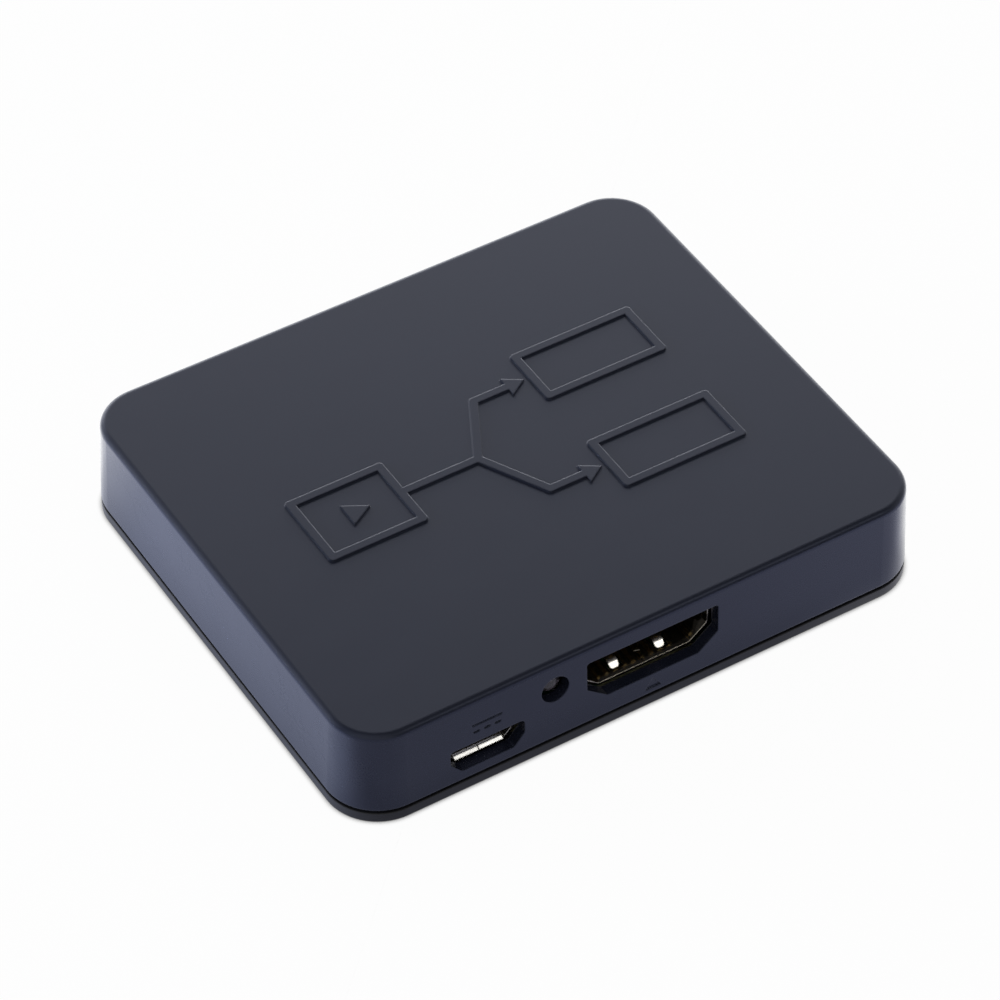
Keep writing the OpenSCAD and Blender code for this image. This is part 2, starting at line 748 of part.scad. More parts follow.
module video_out_1_shell() { at_output(1) video_shell(); }
module video_out_1_insulator() { at_output(1) video_insulator(); }
module video_out_1_contacts() { at_output(1) video_contacts(); }
module video_out_1_lower_springs() { at_output(1) spring_fingers(); }
module video_out_1_upper_springs() { at_output(1) upper_spring_fingers(); }

module video_out_2_shell() { at_output(2) video_shell(); }
module video_out_2_insulator() { at_output(2) video_insulator(); }
module video_out_2_contacts() { at_output(2) video_contacts(); }
module video_out_2_lower_springs() { at_output(2) spring_fingers(); }
module video_out_2_upper_springs() { at_output(2) upper_spring_fingers(); }

// Power inlet

// Height of a lip's middle plane at distance y behind the rim
function lip_height(y) = -tan(flare_slope) * bend_fall(max(flare_len - y, 0), lip_bend_len) - inlet_t / 2;

// Lip of width w that bends outward from the floor at the mouth
module inlet_lip(w) {
    turns = 4;
    front = inlet_t / 2 * sin(flare_slope);
    bend = [for (i = [0 : turns]) flare_len - lip_bend_len * i / turns];
    path = [for (y = concat([2 * flare_len], bend, [front])) [y, lip_height(y)]];
    along_x(w) bent_strip(path, inlet_t);
}

// Part of the floor that a lip of width w takes, with a slit on each side
module lip_room(w) {
    translate([-w / 2 - lip_slit, -1, -1]) cube([w + 2 * lip_slit, 1 + flare_len, 1 + inlet_t / 2]);
}

module power_inlet_shell() {
    outer = softened(grown(inlet_inner, inlet_t), inlet_r + inlet_t);
    color("#c4c6c8") at_front(inlet_x, inlet_floor) difference() {
        union() {
            difference() {
                along_y(0, inlet_len) difference() {
                    polygon(outer);
                    polygon(softened(inlet_inner, inlet_r));
                }
                lip_room(lower_lip_w);
                at_ceiling(inlet_h) lip_room(upper_lip_w);
            }
            inlet_lip(lower_lip_w);
            at_ceiling(inlet_h) inlet_lip(upper_lip_w);
            along_y(inlet_len - inlet_t, inlet_len) polygon(outer);
            for (side = [-1, 1], y = inlet_leg_y)
                shell_leg(side * (inlet_w + inlet_t) / 2, y, inlet_floor, inlet_bevel + 0.5, inlet_leg_w,
                          inlet_leg_w / 4, inlet_t);
        }
        translate([-seam_w / 2, -1, -1]) cube([seam_w, inlet_len, 1 + eps]);
        translate([-inlet_flat / 2 + 0.3, inlet_block_y + 0.5, -1])
            cube([inlet_flat - 0.6, inlet_len - inlet_block_y, inlet_floor + 1]);
    }
}

module power_inlet_insulator() {
    color("#18181a") at_front(inlet_x, inlet_floor) difference() {
        union() {
            along_y(inlet_block_y, inlet_tail_y - contact_t) polygon(softened(inlet_inner, inlet_r));
            translate([-inlet_tongue_w / 2, inlet_tongue_tip, inlet_tongue_z])
                cube([inlet_tongue_w, inlet_block_y - inlet_tongue_tip + eps, inlet_tongue_t]);
        }
        inlet_contact_row(inlet_block_y - 1);
    }
}

module inlet_contact_row(y) {
    z = inlet_tongue_z - contact_t / 2;
    foot_z = -inlet_floor + contact_t / 2;
    path = [[y, z], [inlet_tail_y, z], [inlet_tail_y, foot_z], [inlet_len + 0.7, foot_z]];
    for (k = [0 : inlet_contacts - 1])
        translate([(k - (inlet_contacts - 1) / 2) * inlet_pitch, 0, 0])
            along_x(tail_w) bent_strip(path, contact_t);
}

module power_inlet_contacts() {
    color("#d8b45a") at_front(inlet_x, inlet_floor) inlet_contact_row(inlet_tongue_tip + 0.25);
}

// Lamp

module lamp_lens() {
    r = lamp_d / 2;
    color("#e8e4e0") translate([lamp_x, lamp_front_y, lamp_z]) rotate([-90, 0, 0]) difference() {
        rotate_extrude() intersection() {
            union() {
                translate([0, r]) circle(r);
                translate([0, r]) square([r, lamp_len - r]);
                translate([0, lamp_len - lamp_collar_t]) square([r + 0.4, lamp_collar_t]);
            }
            square([2 * r, lamp_len]);
        }
        translate([r, -2 * r, lamp_len - lamp_collar_t - eps]) cube([r, 4 * r, lamp_collar_t + 2 * eps]);
    }
}

module lamp_leads() {
    color("silver") for (side = [-1, 1]) translate([lamp_x + side * lead_gap / 2, 0, 0])
        along_x(lead_t) bent_strip([[lamp_back_y, lamp_z], [lamp_back_y + lead_run - lead_t / 2, lamp_z],
                                    [lamp_back_y + lead_run - lead_t / 2, board_z - pin_past]], lead_t);
}

// Board parts

module on_board(at) {
    translate([at[0], at[1], board_top]) children();
}

// Body of a chip, w along X and d along Y
module chip_body(w, d, h) {
    translate([-w / 2, -d / 2, chip_lift]) cube([w, d, h]);
}

// Row of gull-wing leads along X that leave a body's side at height top and stand on the board
module gull_row(count, pitch, top, lead, w) {
    reach = lead[1];
    t = lead[2];
    path = [[0, top], [0.3 * reach, top], [0.5 * reach, t / 2], [reach, t / 2]];
    for (k = [0 : count - 1]) translate([(k - (count - 1) / 2) * pitch, 0, 0]) along_x(w) bent_strip(path, t);
}

module splitter_chip() {
    color("#222226") on_board(chip_at) chip_body(chip_side, chip_side, chip_h);
}

module splitter_chip_pins() {
    color("silver") on_board(chip_at) for (a = [0 : 90 : 270]) rotate(a) translate([0, chip_side / 2, 0])
        gull_row(chip_leads, chip_pitch, chip_lift + chip_h / 2, chip_lead, chip_lead[0]);
}

module memory_chip() {
    color("#222226") on_board(memory_at) chip_body(memory_len, memory_w, chip_h);
}

module memory_chip_pins() {
    color("silver") on_board(memory_at) for (a = [0, 180]) rotate(a) translate([0, memory_w / 2, 0])
        gull_row(4, memory_pitch, chip_lift + chip_h / 2, memory_lead, memory_lead[0]);
}

module regulator() {
    color("#222226") on_board(regulator_at) chip_body(regulator_len, regulator_w, regulator_h);
}

module regulator_leads() {
    top = chip_lift + regulator_h / 2;
    color("silver") on_board(regulator_at) {
        translate([0, regulator_w / 2, 0]) gull_row(1, 1, top, regulator_lead, regulator_tab_w);
        rotate(180) translate([0, regulator_w / 2, 0])
            gull_row(3, regulator_pitch, top, regulator_lead, regulator_lead[0]);
    }
}

module crystal_base() {
    size = [crystal_len + 2 * crystal_base_rim, crystal_w + 2 * crystal_base_rim, crystal_base_t];
    color("#2a2a2c") on_board(crystal_at) chip_part(size);
}

module crystal_can() {
    r = crystal_w / 2;
    color("#c9cacc") on_board(crystal_at) translate([0, 0, crystal_base_t]) linear_extrude(crystal_h) {
        for (x = [-1, 1]) translate([x * (crystal_len / 2 - r), 0]) circle(r);
        square([crystal_len - 2 * r, 2 * r], center = true);
    }
}

module bulk_capacitor_bases() {
    s = can_d / 2 + can_base_rim;
    cut = can_d / 5;
    color("#2a2a2c") for (at = can_at) on_board(at) linear_extrude(can_base_t)
        polygon([[-s, -s], [s, -s], [s, s - cut], [s - cut, s], [cut - s, s], [-s, s - cut]]);
}

// Can with a crimped groove near its foot and a bevelled top
module bulk_capacitors() {
    r = can_d / 2;
    groove = r - 0.07 * can_d;
    top = r - 0.06 * can_d;
    color("#c2c4c6") for (at = can_at) on_board(at) translate([0, 0, can_base_t]) rotate_extrude()
        polygon([[0, 0], [r - 0.1, 0], [r - 0.1, 0.5], [groove, 0.7], [groove, 0.9], [r, 1.1],
                 [r, can_h - 0.06 * can_d], [top, can_h], [0, can_h]]);
}

module power_inductor() {
    s = inductor_side / 2;
    c = s - 0.14 * inductor_side;
    color("#3a3a3e") on_board(inductor_at) linear_extrude(inductor_h)
        polygon([[-c, -s], [c, -s], [s, -c], [s, c], [c, s], [-c, s], [-s, c], [-s, -c]]);
}

module chip_part(size) {
    translate([-size[0] / 2, -size[1] / 2, 0]) cube(size);
}

module ceramic_capacitors() {
    color("#a88a62") {
        on_board(chip_at) for (a = [0 : 90 : 270], k = [-1, 0, 1])
            rotate(a) translate([capacitor_step * k, chip_side / 2 + chip_surround, 0])
                chip_part(small_capacitor);
        on_board(regulator_at) for (side = [-1, 1])
            translate([side * (regulator_len / 2 + supply_surround), 0, 0]) chip_part(supply_capacitor);
    }
}

// A row behind each output socket, which starts beside the distributor chip, and a row by the memory chip
module chip_resistors() {
    color("#1c1c1e") {
        for (n = [1, 2], k = [-1 : 3])
            at_output(n) translate([(3 - 2 * n) * part_step * k, video_len + resistor_gap, -video_floor])
                chip_part(small_resistor);
        for (k = [-1, 0, 1])
            on_board([memory_at[0] + part_step * k, memory_at[1] - memory_row]) chip_part(small_resistor);
    }
}

module surge_arrays() {
    color("#26262a") at_all_video() for (side = [-1, 1])
        translate([side * array_step / 2, video_len + array_gap, -video_floor]) chip_part(surge_array);
}

top_cover();
bottom_cover();
case_screws();
main_board();
video_in_shell();
video_in_insulator();
video_in_contacts();
video_in_lower_springs();
video_in_upper_springs();
video_out_1_shell();
video_out_1_insulator();
video_out_1_contacts();
video_out_1_lower_springs();
video_out_1_upper_springs();
video_out_2_shell();
video_out_2_insulator();
video_out_2_contacts();
video_out_2_lower_springs();
video_out_2_upper_springs();
power_inlet_shell();
power_inlet_insulator();
power_inlet_contacts();
lamp_lens();
lamp_leads();
splitter_chip();
splitter_chip_pins();
memory_chip();
memory_chip_pins();
regulator();
regulator_leads();
crystal_can();
crystal_base();
bulk_capacitors();
bulk_capacitor_bases();
power_inductor();
ceramic_capacitors();
chip_resistors();
surge_arrays();
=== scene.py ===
"""Finish and studio of a small video splitter with one input and two outputs."""

import math

import bpy
from mathutils import Matrix, Vector


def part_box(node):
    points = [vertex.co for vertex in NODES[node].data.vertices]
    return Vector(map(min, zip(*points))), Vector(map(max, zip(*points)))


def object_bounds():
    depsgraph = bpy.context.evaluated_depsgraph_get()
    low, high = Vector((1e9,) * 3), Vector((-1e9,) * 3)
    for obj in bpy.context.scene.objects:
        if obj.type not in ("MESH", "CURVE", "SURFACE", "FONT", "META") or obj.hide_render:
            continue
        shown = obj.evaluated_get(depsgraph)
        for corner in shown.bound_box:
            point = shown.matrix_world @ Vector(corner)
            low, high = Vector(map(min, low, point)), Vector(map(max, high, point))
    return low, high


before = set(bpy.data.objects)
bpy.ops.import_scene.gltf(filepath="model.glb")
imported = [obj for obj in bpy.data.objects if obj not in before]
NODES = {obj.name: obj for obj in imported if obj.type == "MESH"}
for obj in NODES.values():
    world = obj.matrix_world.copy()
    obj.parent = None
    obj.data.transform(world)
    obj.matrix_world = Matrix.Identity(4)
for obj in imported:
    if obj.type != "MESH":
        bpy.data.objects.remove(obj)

bl_info = {
    "name": "Video splitter finish",
    "version": (1, 0, 0),
    "blender": (4, 5, 0),
    "location": "3D View > Sidebar > Splitter",
    "description": "Gives a moulded video splitter its finishes and sets a studio round it",
    "category": "Object",
}

MM = 0.001
SOCKETS = ("video_in", "video_out_1", "video_out_2")
CAD_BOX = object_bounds()

# Millimetres below the top of the box where the walls' finish starts to turn into the roof's,
# and where it has done so
ROOF_START, ROOF_END = 0.7, 0.3
# Draw of the rolling marks in sheet metal: below 1 they are longer along that axis
MARKS_ALONG = (1.0, 0.1, 1.0)
MARKS_ACROSS = (0.1, 1.0, 1.0)
# Radii of the edges of what stands on the board
CHIP_EDGE = 0.08 * MM
CERAMIC_EDGE = 0.06 * MM
# Material, node, darkest and lightest colour, and roughness of each fired part
CERAMICS = (
    ("ferrite", "power_inductor", (0.03, 0.03, 0.032), (0.075, 0.074, 0.076), 0.6),
    ("capacitor_ceramic", "ceramic_capacitors", (0.22, 0.13, 0.06), (0.45, 0.31, 0.17), 0.4),
    ("resistor_glaze", "chip_resistors", (0.01, 0.01, 0.011), (0.03, 0.03, 0.032), 0.3),
)
# Rays that a softened edge and the shade under the case send out for each sample
EDGE_RAYS = 6
SHADE_RAYS = 8
# Reach and darkest colour of the shade on the floor where the case touches it
SHADE_REACH = 0.6 * MM
SHADE_COLOUR = (0.05, 0.047, 0.045)
WHITE = (1.0, 1.0, 1.0)
# Share of its own light in what the camera sees of the floor; the rest is lit and holds the shadow
FLOOR_GLOW = 0.97
FLOOR_HALF = 3.0
FLOOR_DROP = 0.02 * MM
SENSOR_WIDTH = 36.0
NEAREST_SEEN = 0.01


# Shader maths


class Wire:
    """A node's output. Arithmetic on it adds Math nodes."""

    def __init__(self, sheet, node, socket):
        self.sheet = sheet
        self.node = node
        self.socket = socket

    def math(self, operation, *values):
        """A Math node in the same tree, with numbers or wires in its sockets."""
        return self.sheet.add("ShaderNodeMath", {"operation": operation}, dict(enumerate(values)))

    def __add__(self, other):
        return self.math("ADD", self, other)

    def __radd__(self, other):
        return self.math("ADD", other, self)

    def __sub__(self, other):
        return self.math("SUBTRACT", self, other)

    def __rsub__(self, other):
        return self.math("SUBTRACT", other, self)

    def __mul__(self, other):
        return self.math("MULTIPLY", self, other)

    def __rmul__(self, other):
        return self.math("MULTIPLY", other, self)

    def __abs__(self):
        return self.math("ABSOLUTE", self)

    def out(self, name):
        """Another output of the same node."""
        return Wire(self.sheet, self.node, self.node.outputs[name])

    def highest(self, other):
        return self.math("MAXIMUM", self, other)

    def lowest(self, other):
        return self.math("MINIMUM", self, other)

    def spread(self, amount):
        """Values of 0 to 1 moved to lie evenly about 0, amount apart at most."""
        return amount * (self - 0.5)

    def ramp(self, low, high, start=0.0, end=1.0):
        """Eased step from start at low to end at high. Low may be the larger one."""
        return self.sheet.add("ShaderNodeMapRange", {"interpolation_type": "SMOOTHSTEP"},
                              {0: self, 1: low, 2: high, 3: start, 4: end})


class Sheet:
    """The node tree of one material, or of the world."""

    def __init__(self, tree):
        self.tree = tree
        tree.nodes.clear()

    def add(self, kind, settings=None, inputs=None, out=0):
        """Adds a node: its settings first, then the values or wires of its sockets.
        Gives one output."""
        node = self.tree.nodes.new(kind)
        for name, value in (settings or {}).items():
            setattr(node, name, value)
        for key, value in (inputs or {}).items():
            if isinstance(value, Wire):
                self.tree.links.new(value.socket, node.inputs[key])
            else:
                node.inputs[key].default_value = value
        return Wire(self, node, node.outputs[out]) if node.outputs else None

    def place(self):
        """Object coordinates in millimetres."""
        metres = self.add("ShaderNodeTexCoord", out="Object")
        return self.add("ShaderNodeVectorMath", {"operation": "SCALE"},
                        {0: metres, "Scale": 1 / MM})

    def axes(self):
        """The three object coordinates in millimetres, apart."""
        x = self.add("ShaderNodeSeparateXYZ", inputs={0: self.place()})
        return x, x.out("Y"), x.out("Z")

    def grain(self, scale, detail=3.0, stretch=(1.0, 1.0, 1.0)):
        """Noise with scale features a millimetre, times stretch along each axis."""
        vector = self.add("ShaderNodeMapping", inputs={"Vector": self.place(), "Scale": stretch})
        return self.add("ShaderNodeTexNoise",
                        inputs={"Vector": vector, "Scale": scale, "Detail": detail})

    def cells(self, scale):
        """Distance to the nearest of scattered points, scale of them a millimetre."""
        return self.add("ShaderNodeTexVoronoi", {"feature": "F1"},
                        {"Vector": self.place(), "Scale": scale})

    def tint(self, mask, low, high):
        """Colour between low and high by a mask."""
        colours = {6: low if isinstance(low, Wire) else (*low, 1.0),
                   7: high if isinstance(high, Wire) else (*high, 1.0)}
        return self.add("ShaderNodeMix", {"data_type": "RGBA"}, {0: mask, **colours}, out=2)

    def soft_edges(self, radius):
        """Surface direction with the edges rounded to a radius in metres."""
        return self.add("ShaderNodeBevel", {"samples": EDGE_RAYS}, {"Radius": radius})

    def relief(self, height, depth, normal=None):
        """Surface direction of a relief whose depth is in metres."""
        inputs = {"Strength": 1.0, "Distance": depth, "Height": height}
        if normal is not None:
            inputs["Normal"] = normal
        return self.add("ShaderNodeBump", inputs=inputs)

    def surface(self, **sockets):
        """Principled shader; underscores in the names stand for spaces."""
        return self.add("ShaderNodeBsdfPrincipled",
                        inputs={name.replace("_", " "): value for name, value in sockets.items()})

    def mirrored_rays(self, rays):
        """1 for a ray that a mirror or clear piece sends on, from the outputs of a Light Path."""
        return rays.out("Is Glossy Ray").highest(rays.out("Is Transmission Ray"))


def finish(name, recipe, *values):
    """A material whose surface comes from a recipe."""
    made = bpy.data.materials.new(name)
    made.use_nodes = True
    sheet = Sheet(made.node_tree)
    sheet.add("ShaderNodeOutputMaterial", inputs={"Surface": recipe(sheet, *values)})
    return made


def dress(material, *names):
    """Puts a material on CAD nodes."""
    for name in names:
        NODES[name].material_slots[0].material = material


def shaded(tone, factor):
    """A colour made darker or lighter by a factor."""
    return tuple(factor * part for part in tone)


# Finishes


def lid_plastic(sheet, case):
    """Satin moulding: a fine spark-eroded grain, rougher on the roof than on the walls, and
    faint flow shades."""
    top = CAD_BOX[1].z / MM
    roof = sheet.axes()[2].ramp(top - ROOF_START, top - ROOF_END)
    flow = sheet.grain(0.06, 2.0, (1.0, 1.6, 1.0))
    pores = sheet.grain(9.0, 2.0)
    smear = sheet.grain(0.35, 4.0, (0.5, 1.0, 1.0))
    rough = case.wall_roughness + (case.roof_roughness - case.wall_roughness) * roof
    return sheet.surface(
        Base_Color=sheet.tint(flow, shaded(case.lid_colour, 0.9), shaded(case.lid_colour, 1.12)),
        Roughness=rough + smear.spread(0.05) + pores.spread(0.04),
        IOR=1.6,
        Specular_Tint=(*case.lid_sheen, 1.0),
        Normal=sheet.relief(pores, case.grain_depth, sheet.soft_edges(case.edge_softness)),
    )


def base_plastic(sheet, case):
    """Matt moulding with a coarser, deeper grain and a warmer black than the lid."""
    pores = sheet.grain(7.0)
    flow = sheet.grain(0.1, 2.0)
    return sheet.surface(
        Base_Color=sheet.tint(flow, shaded(case.base_colour, 0.88), shaded(case.base_colour, 1.14)),
        Roughness=case.base_roughness + pores.spread(0.1),
        Normal=sheet.relief(pores, 1.5 * case.grain_depth, sheet.soft_edges(case.base_softness)),
    )


def zinc_steel(sheet):
    """Zinc plate: cloudy bluish grey with fine turning marks."""
    cloud = sheet.grain(1.2, 4.0)
    turning = sheet.grain(14.0, 2.0, (1.0, 1.0, 6.0))
    return sheet.surface(
        Base_Color=sheet.tint(cloud, (0.46, 0.48, 0.50), (0.66, 0.67, 0.66)),
        Metallic=1.0,
        Roughness=0.26 + 0.16 * cloud + 0.08 * turning,
        Normal=sheet.relief(turning, 0.004 * MM),
    )


def rolled_sheet(sheet, tone, roughness, stretch, edge):
    """Plated sheet with rolling marks along one axis, soft stains and rounded edges."""
    marks = sheet.grain(11.0, stretch=stretch)
    stain = sheet.grain(0.7)
    return sheet.surface(
        Base_Color=sheet.tint(stain, shaded(tone, 0.86), tone),
        Metallic=1.0,
        Roughness=roughness + marks.spread(0.10) + stain.spread(0.08),
        Normal=sheet.relief(marks, 0.0015 * MM, sheet.soft_edges(edge)),
    )


def insulator_plastic(sheet):
    """Black heat-proof moulding with pale flow streaks."""
    streak = sheet.grain(1.6, 4.0, (0.4, 2.0, 1.0))
    pores = sheet.grain(12.0, 2.0)
    return sheet.surface(
        Base_Color=sheet.tint(streak.ramp(0.45, 0.8),
                              (0.006, 0.006, 0.0065), (0.018, 0.018, 0.019)),
        Roughness=0.42 + 0.14 * streak,
        Normal=sheet.relief(pores, 0.004 * MM),
    )


def gold_flash(sheet):
    """Thin gold over nickel: paler where it is thin, with fine stamping lines."""
    thin = sheet.grain(1.3, 4.0)
    lines = sheet.grain(16.0, 2.0, (1.0, 0.12, 1.0))
    return sheet.surface(
        Base_Color=sheet.tint(thin.ramp(0.4, 0.75), (0.83, 0.60, 0.24), (0.80, 0.68, 0.42)),
        Metallic=1.0,
        Roughness=0.2 + 0.1 * lines + 0.08 * thin,
        Normal=sheet.relief(lines, 0.002 * MM),
    )


def lamp_resin(sheet, lamp):
    """Clear cast resin, faintly cloudy, with casting ripples."""
    ripple = sheet.grain(0.9, 2.0)
    haze = sheet.grain(2.4)
    return sheet.surface(
        Base_Color=sheet.tint(haze, shaded(lamp.resin_colour, 0.94), lamp.resin_colour),
        Roughness=0.05 + 0.08 * haze,
        Transmission_Weight=0.92,
        IOR=1.54,
        Normal=sheet.relief(ripple, 0.004 * MM),
    )


def tinned_metal(sheet):
    """Dull tin with a crystalline bloom."""
    bloom = sheet.cells(3.0)
    frost = sheet.grain(6.0)
    return sheet.surface(
        Base_Color=sheet.tint(frost, (0.56, 0.57, 0.58), (0.74, 0.74, 0.73)),
        Metallic=1.0,
        Roughness=0.24 + 0.12 * bloom + 0.1 * frost,
        Normal=sheet.relief(frost, 0.003 * MM),
    )


def board_laminate(sheet, board):
    """Solder mask over copper: raised tracks, tented holes, and fibre layers along the cut edge.
    A track is a slanting stripe where a coarse noise is high, and a hole's ring lies between two
    distances from a scattered point."""
    x, y, z = sheet.axes()
    low, high = (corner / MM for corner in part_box("main_board"))
    inward = (x - low.x).lowest(high.x - x).lowest((y - low.y).lowest(high.y - y))
    edge = inward.ramp(0.12, 0.02)
    lanes = sheet.grain(0.16, 0.0)
    stripes = sheet.add("ShaderNodeTexWave", {"wave_type": "BANDS", "bands_direction": "DIAGONAL"},
                        {"Vector": sheet.place(), "Scale": 0.55, "Distortion": 0.0})
    tracks = stripes.ramp(0.42, 0.5) * lanes.ramp(0.5, 0.52)
    holes = sheet.cells(0.32)
    ring = holes.ramp(0.16, 0.13) - holes.ramp(0.09, 0.07)
    weave = sheet.add("ShaderNodeTexBrick", {"offset": 0.5},
                      {"Vector": sheet.place(), "Scale": 1.0, "Color1": (0.4, 0.4, 0.4, 1),
                       "Color2": (0.6, 0.6, 0.6, 1), "Mortar": (0.2, 0.2, 0.2, 1),
                       "Mortar Size": 0.05, "Brick Width": 0.5, "Row Height": 0.25})
    raised = tracks.highest(ring)
    green = sheet.tint(raised, board.mask_colour, shaded(board.mask_colour, 2.1))
    layers = z.math("FRACT", 6.0 * z).ramp(0.3, 0.6)
    fibre = sheet.tint(layers, (0.32, 0.30, 0.16), (0.46, 0.43, 0.27))
    return sheet.surface(
        Base_Color=sheet.tint(edge, green, fibre),
        Roughness=0.28 + 0.35 * edge + 0.06 * weave,
        Normal=sheet.relief(raised + 0.15 * weave, 0.03 * MM),
    )


def chip_resin(sheet, board):
    """Moulded package: black with pale filler specks and a soft bead-blasted grain."""
    speck = sheet.cells(7.0)
    pores = sheet.grain(10.0)
    return sheet.surface(
        Base_Color=sheet.tint(speck.ramp(0.16, 0.06), board.chip_colour, (0.06, 0.06, 0.062)),
        Roughness=0.5 + pores.spread(0.16),
        Normal=sheet.relief(pores, 0.012 * MM, sheet.soft_edges(CHIP_EDGE)),
    )


def drawn_can(sheet, tone):
    """Drawn metal can with lines of the draw round its side."""
    lines = sheet.grain(9.0, stretch=(0.2, 0.2, 4.0))
    cloud = sheet.grain(0.8)
    return sheet.surface(
        Base_Color=sheet.tint(cloud, shaded(tone, 0.85), tone),
        Metallic=1.0,
        Roughness=0.22 + 0.14 * lines + 0.06 * cloud,
        Normal=sheet.relief(lines, 0.003 * MM),
    )


def sintered(sheet, low, high, roughness):
    """Fired ceramic: grainy, with a few darker pits."""
    grit = sheet.grain(8.0, 5.0)
    pits = sheet.cells(4.0)
    return sheet.surface(
        Base_Color=sheet.tint(grit * pits.ramp(0.05, 0.2), low, high),
        Roughness=roughness + grit.spread(0.14),
        Normal=sheet.relief(grit, 0.015 * MM, sheet.soft_edges(CERAMIC_EDGE)),
    )


# Settings


def number(name, description, default, **more):
    return bpy.props.FloatProperty(name=name, description=description, default=default, **more)


def share(name, description, default):
    return number(name, description, default, min=0.0, max=1.0, subtype="FACTOR")


def length(name, description, default):
    return number(name, description, default, min=0.0, precision=6, unit="LENGTH")


def angle(name, description, degrees):
    return number(name, description, math.radians(degrees), subtype="ANGLE")


def power(name, description, default):
    return number(name, description, default, min=0.0, unit="POWER")


def colour(name, description, default):
    return bpy.props.FloatVectorProperty(name=name, description=description, default=default,
                                         size=3, subtype="COLOR", min=0.0, max=1.0)


class CaseSettings(bpy.types.PropertyGroup):
    lid_colour: colour("Lid colour", "Colour of the moulded lid", (0.010, 0.012, 0.022))
    lid_sheen: colour("Lid sheen", "Tint of the reflections in the lid", (0.70, 0.76, 1.0))
    base_colour: colour("Base colour", "Colour of the moulded base", (0.012, 0.0122, 0.0145))
    roof_roughness: share("Roof roughness", "Roughness of the satin roof", 0.36)
    wall_roughness: share("Wall roughness", "Roughness of the smoother walls", 0.27)
    base_roughness: share("Base roughness", "Roughness of the matt base", 0.42)
    grain_depth: length("Grain depth", "Depth of the moulded grain", 0.002 * MM)
    edge_softness: length("Edge softness", "Radius of the lid's small edges", 0.2 * MM)
    base_softness: length("Base softness", "Radius of the base's edges", 0.06 * MM)


class MetalSettings(bpy.types.PropertyGroup):
    shell_colour: colour("Shell colour", "Colour of the sockets' shells", (0.78, 0.71, 0.58))
    spring_colour: colour("Spring colour", "Colour of the spring fingers", (0.90, 0.86, 0.78))
    inlet_colour: colour("Inlet colour", "Colour of the power inlet's shell", (0.90, 0.88, 0.83))
    shell_roughness: share("Shell roughness", "Roughness of the sockets' shells", 0.16)
    spring_roughness: share("Spring roughness", "Roughness of the spring fingers", 0.22)
    inlet_roughness: share("Inlet roughness", "Roughness of the power inlet's shell", 0.24)
    shell_softness: length("Shell softness", "Radius of the shells' edges", 0.15 * MM)
    spring_softness: length("Spring softness", "Radius of the fingers' edges", 0.12 * MM)
    inlet_softness: length("Inlet softness", "Radius of the inlet's edges", 0.12 * MM)


class LampSettings(bpy.types.PropertyGroup):
    resin_colour: colour("Resin colour", "Colour of the lamp's clear resin", (0.62, 0.55, 0.60))


class BoardSettings(bpy.types.PropertyGroup):
    mask_colour: colour("Mask colour", "Colour of the solder mask", (0.010, 0.085, 0.034))
    chip_colour: colour("Chip colour", "Colour of the chips' packages", (0.013, 0.013, 0.014))
    crystal_colour: colour("Crystal colour", "Colour of the crystal's can", (0.74, 0.74, 0.73))
    can_colour: colour("Can colour", "Colour of the capacitors' cans", (0.80, 0.81, 0.82))


class StudioSettings(bpy.types.PropertyGroup):
    azimuth: angle("Azimuth", "Turn of the camera round the object", -31.864)
    elevation: angle("Elevation", "Height of the camera above the floor", 45.126)
    roll: angle("Roll", "Turn of the camera about its own axis", 0.172)
    distance: number("Distance", "Distance of the camera from its target", 0.43848, unit="LENGTH")
    lens: number("Lens", "Focal length of the camera", 162.69, unit="CAMERA")
    aside: number("Aside", "How far the view is moved to the right", 0.0000328, unit="LENGTH")
    above: number("Above", "How far the view is moved up", 0.0009389, unit="LENGTH")
    key_level: power("Key level", "Power of the low light from the left", 5.0)
    back_level: power("Back level", "Power of the wide light behind", 2.3)
    strip_level: power("Strip level", "Power of the narrow light along the floor behind", 1.6)
    card_level: power("Card level", "Power of the small light beside the camera", 0.12)
    key_colour: colour("Key colour", "Colour of the low light", (0.75, 0.86, 1.0))
    surround: share("Surround", "Light that comes from all round", 0.45)
    back_wall: share("Back wall", "Level of the wall behind, in reflections", 0.9)
    front_wall: share("Front wall", "Level of the wall in front, in reflections", 0.4)
    screen: share("Screen", "Level of the dark screen and the ceiling, in reflections", 0.04)


# Studio


def aimed(spot, target, roll=0.0):
    """Placement at spot that looks at target along its own -Z, turned about that axis by roll."""
    back = (Vector(spot) - Vector(target)).normalized()
    right = Vector((0, 0, 1)).cross(back).normalized()
    up = back.cross(right)
    turned_right = math.cos(roll) * right + math.sin(roll) * up
    turned_up = math.cos(roll) * up - math.sin(roll) * right
    turned = Matrix((turned_right, turned_up, back)).transposed()
    return Matrix.Translation(spot) @ turned.to_4x4()


def set_camera(studio):
    """Looks at the middle of the box from the given angles, moved a little across the view."""
    centre = (CAD_BOX[0] + CAD_BOX[1]) / 2
    turn, rise = studio.azimuth, studio.elevation
    back = Vector((math.sin(turn) * math.cos(rise), -math.cos(turn) * math.cos(rise),
                   math.sin(rise)))
    facing = aimed(back, (0, 0, 0), studio.roll).to_3x3()
    target = centre - facing @ Vector((studio.aside, studio.above, 0))
    data = bpy.data.cameras.new("camera")
    data.lens = studio.lens
    data.sensor_width = SENSOR_WIDTH
    data.clip_start = NEAREST_SEEN
    camera = bpy.data.objects.new("camera", data)
    camera.matrix_world = Matrix.Translation(target + studio.distance * back) @ facing.to_4x4()
    bpy.context.collection.objects.link(camera)
    bpy.context.scene.camera = camera


